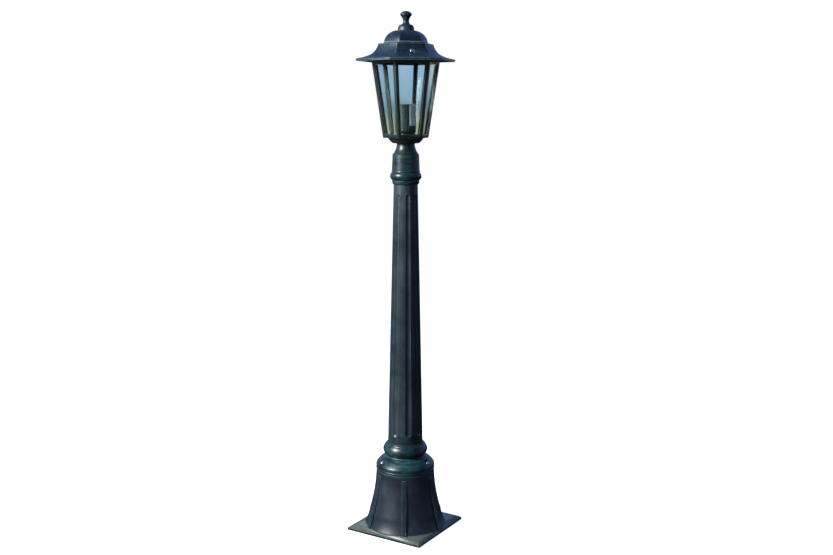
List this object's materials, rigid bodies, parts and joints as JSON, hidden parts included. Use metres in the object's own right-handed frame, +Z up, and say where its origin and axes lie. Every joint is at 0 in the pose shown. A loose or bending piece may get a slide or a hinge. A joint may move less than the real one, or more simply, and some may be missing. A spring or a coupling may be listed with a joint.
{
  "type": "garden lamp post",
  "caption": "Small classical lamp post: square plate with a ribbed bell, fluted tapered post, and a six-sided glazed lantern whose roof lifts off to reach the lamp holder.",
  "frame": {"origin": "centre of the square plate's underside, on the post's axis", "axes": "+Z up along the post, X and Y along the plate's sides"},
  "size_m": [0.1914, 0.1932, 1.05],
  "materials": {
    "pedestal_paint": "satin black with a green brushed patina",
    "moulding_paint": "satin black with a green brushed patina",
    "shaft_paint": "satin black with a green brushed patina",
    "lantern_paint": "satin black with a green brushed patina",
    "roof_paint": "satin black with a green brushed patina",
    "clear_glass": "clear",
    "holder_plastic": "dark, semi gloss",
    "shell_brass": "bright",
    "zinc_steel": "zinc plated",
    "stainless": "stainless, polished",
    "black_rubber": "matt",
    "terminal_plastic": "moulded",
    "flex_jacket": "matt",
    "blank_paper": "blank sticker"
  },
  "bodies": {
    "post": {"pedestal": "pedestal_paint", "shoulder_flange": "moulding_paint", "shoulder_screws": "stainless", "foot_ring": "moulding_paint", "fluted_shaft": "shaft_paint", "crown": "moulding_paint", "crown_gasket": "black_rubber", "lantern_fitter": "lantern_paint", "lantern_cage": "lantern_paint", "glass_pane_1": "clear_glass", "glass_pane_2": "clear_glass", "glass_pane_3": "clear_glass", "glass_pane_4": "clear_glass", "glass_pane_5": "clear_glass", "glass_pane_6": "clear_glass", "glazing_beads": "black_rubber", "cage_screws": "zinc_steel", "bridge_screws": "zinc_steel", "holder_bridge": "zinc_steel", "holder_screws": "zinc_steel", "lamp_holder": "holder_plastic", "holder_skirt": "holder_plastic", "screw_shell": "shell_brass", "centre_contact": "shell_brass", "blank_plate": "blank_paper", "tie_tube": "zinc_steel", "tie_washer": "zinc_steel", "tie_nut": "zinc_steel", "yoke_nuts": "zinc_steel", "ground_yoke": "zinc_steel", "terminal_block": "terminal_plastic", "terminal_screws": "zinc_steel", "earth_screw": "shell_brass", "inner_flex": "flex_jacket", "head_seal": "black_rubber"},
    "roof": {"roof_shell": "roof_paint", "roof_dome": "roof_paint", "finial": "roof_paint", "roof_strap": "zinc_steel", "finial_stud": "zinc_steel", "finial_nut": "zinc_steel", "roof_screws": "stainless", "roof_nuts": "zinc_steel"}
  },
  "joints": [
    {"name": "roof_lift", "type": "slide", "parent": "post", "child": "roof", "axis": [0, 0, 1], "range_m": [0, 0.2]}
  ]
}
